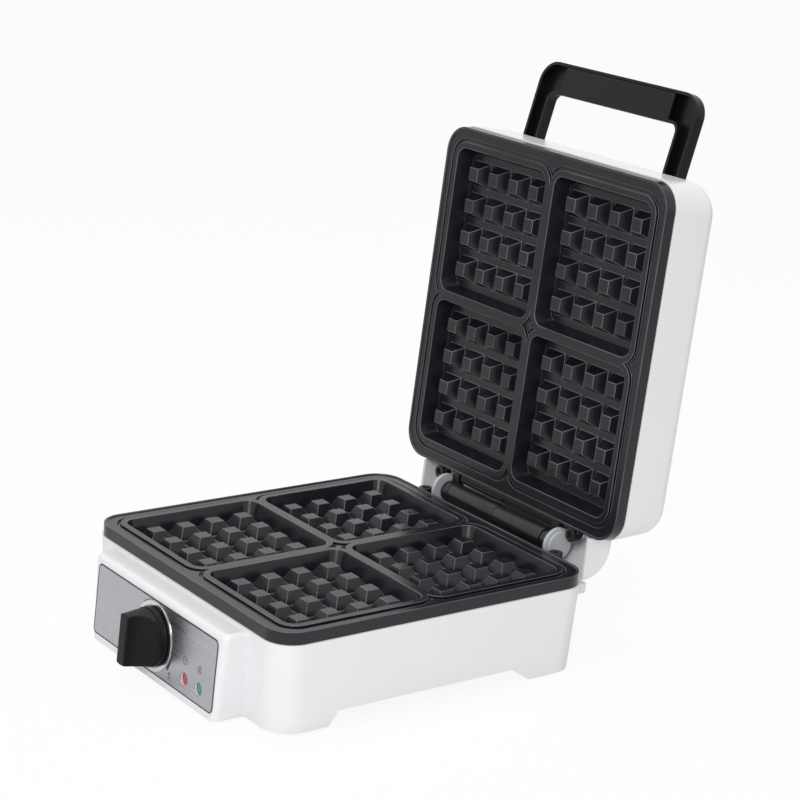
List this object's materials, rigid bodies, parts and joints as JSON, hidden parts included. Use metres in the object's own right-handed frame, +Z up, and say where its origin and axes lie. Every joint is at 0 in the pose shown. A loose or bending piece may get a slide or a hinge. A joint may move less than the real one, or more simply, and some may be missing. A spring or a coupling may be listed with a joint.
{
  "type": "waffle iron",
  "caption": "Countertop waffle iron: a hinged lid with an arched handle, grid-pegged baking plates, and a moulded base with a thermostat knob and pilot lamps.",
  "frame": {"origin": "on the table, in the middle of the space that the open iron takes: between its two sides, and halfway from the knob's front to the back of the open lid", "axes": "+X to the right as the user faces the knob, +Y to the back, +Z up; the rest pose is the open lid"},
  "size_m": [0.252, 0.4131, 0.4044],
  "materials": {
    "white_housing": "glossy moulded white plastic",
    "nonstick_casting": "cast aluminium with a dark grey satin non-stick coating",
    "brushed_panel": "fine horizontal brushing, satin",
    "bezel_metal": "bright turned ring",
    "black_knob": "fine moulded matt black",
    "black_handle": "glossy moulded black",
    "black_plastic": "moulded black",
    "red_lens": "translucent red",
    "green_lens": "translucent green",
    "black_hinge_metal": "satin black paint",
    "bracket_metal": "pale grey paint",
    "bright_steel": "zinc plated",
    "grey_sheet": "plated sheet steel",
    "heater_sheath": "heat darkened sheath",
    "grey_rubber": "soft matt"
  },
  "bodies": {
    "base": {"base_housing": "white_housing", "bottom_cover": "grey_sheet", "bottom_cover_screws": "bright_steel", "rubber_feet": "grey_rubber", "cord_gland": "black_plastic", "terminal_block": "black_plastic", "control_panel": "brushed_panel", "knob_bezel": "bezel_metal", "red_lamp_lens": "red_lens", "green_lamp_lens": "green_lens", "lamp_holders": "black_plastic", "thermostat_body": "grey_sheet", "thermostat_bracket": "grey_sheet", "thermostat_screws": "bright_steel", "lower_plate": "nonstick_casting", "lower_heating_element": "heater_sheath", "lower_element_clips": "grey_sheet", "lower_heat_reflector": "grey_sheet", "lower_reflector_screws": "bright_steel", "lower_plate_screws": "black_hinge_metal", "lower_hinge_knuckle": "black_hinge_metal", "hinge_bracket_left": "bracket_metal", "hinge_bracket_right": "bracket_metal", "hinge_bracket_screws": "bright_steel", "hinge_pin": "bright_steel"},
    "lid": {"upper_plate": "nonstick_casting", "upper_heating_element": "heater_sheath", "upper_element_clips": "grey_sheet", "upper_heat_reflector": "grey_sheet", "upper_reflector_screws": "bright_steel", "upper_plate_screws": "black_hinge_metal", "upper_hinge_knuckle": "black_hinge_metal", "hinge_arm_left": "black_hinge_metal", "hinge_arm_right": "black_hinge_metal", "lid_housing": "white_housing", "handle_shell": "black_handle", "handle_grip_cover": "black_handle", "handle_screws": "bright_steel", "thermal_fuse": "bright_steel"},
    "knob": {"thermostat_shaft": "bright_steel", "control_knob": "black_knob"}
  },
  "joints": [
    {"name": "lid_hinge", "type": "hinge", "parent": "base", "child": "lid", "pos_m": [0, 0.116, 0.075], "axis": [1, 0, 0], "range_deg": [0, 94.7]},
    {"name": "knob_turn", "type": "hinge", "parent": "base", "child": "knob", "pos_m": [0, -0.18142, 0.0327], "axis": [0, -0.9979, 0.0644], "range_deg": [-140, 140]}
  ]
}
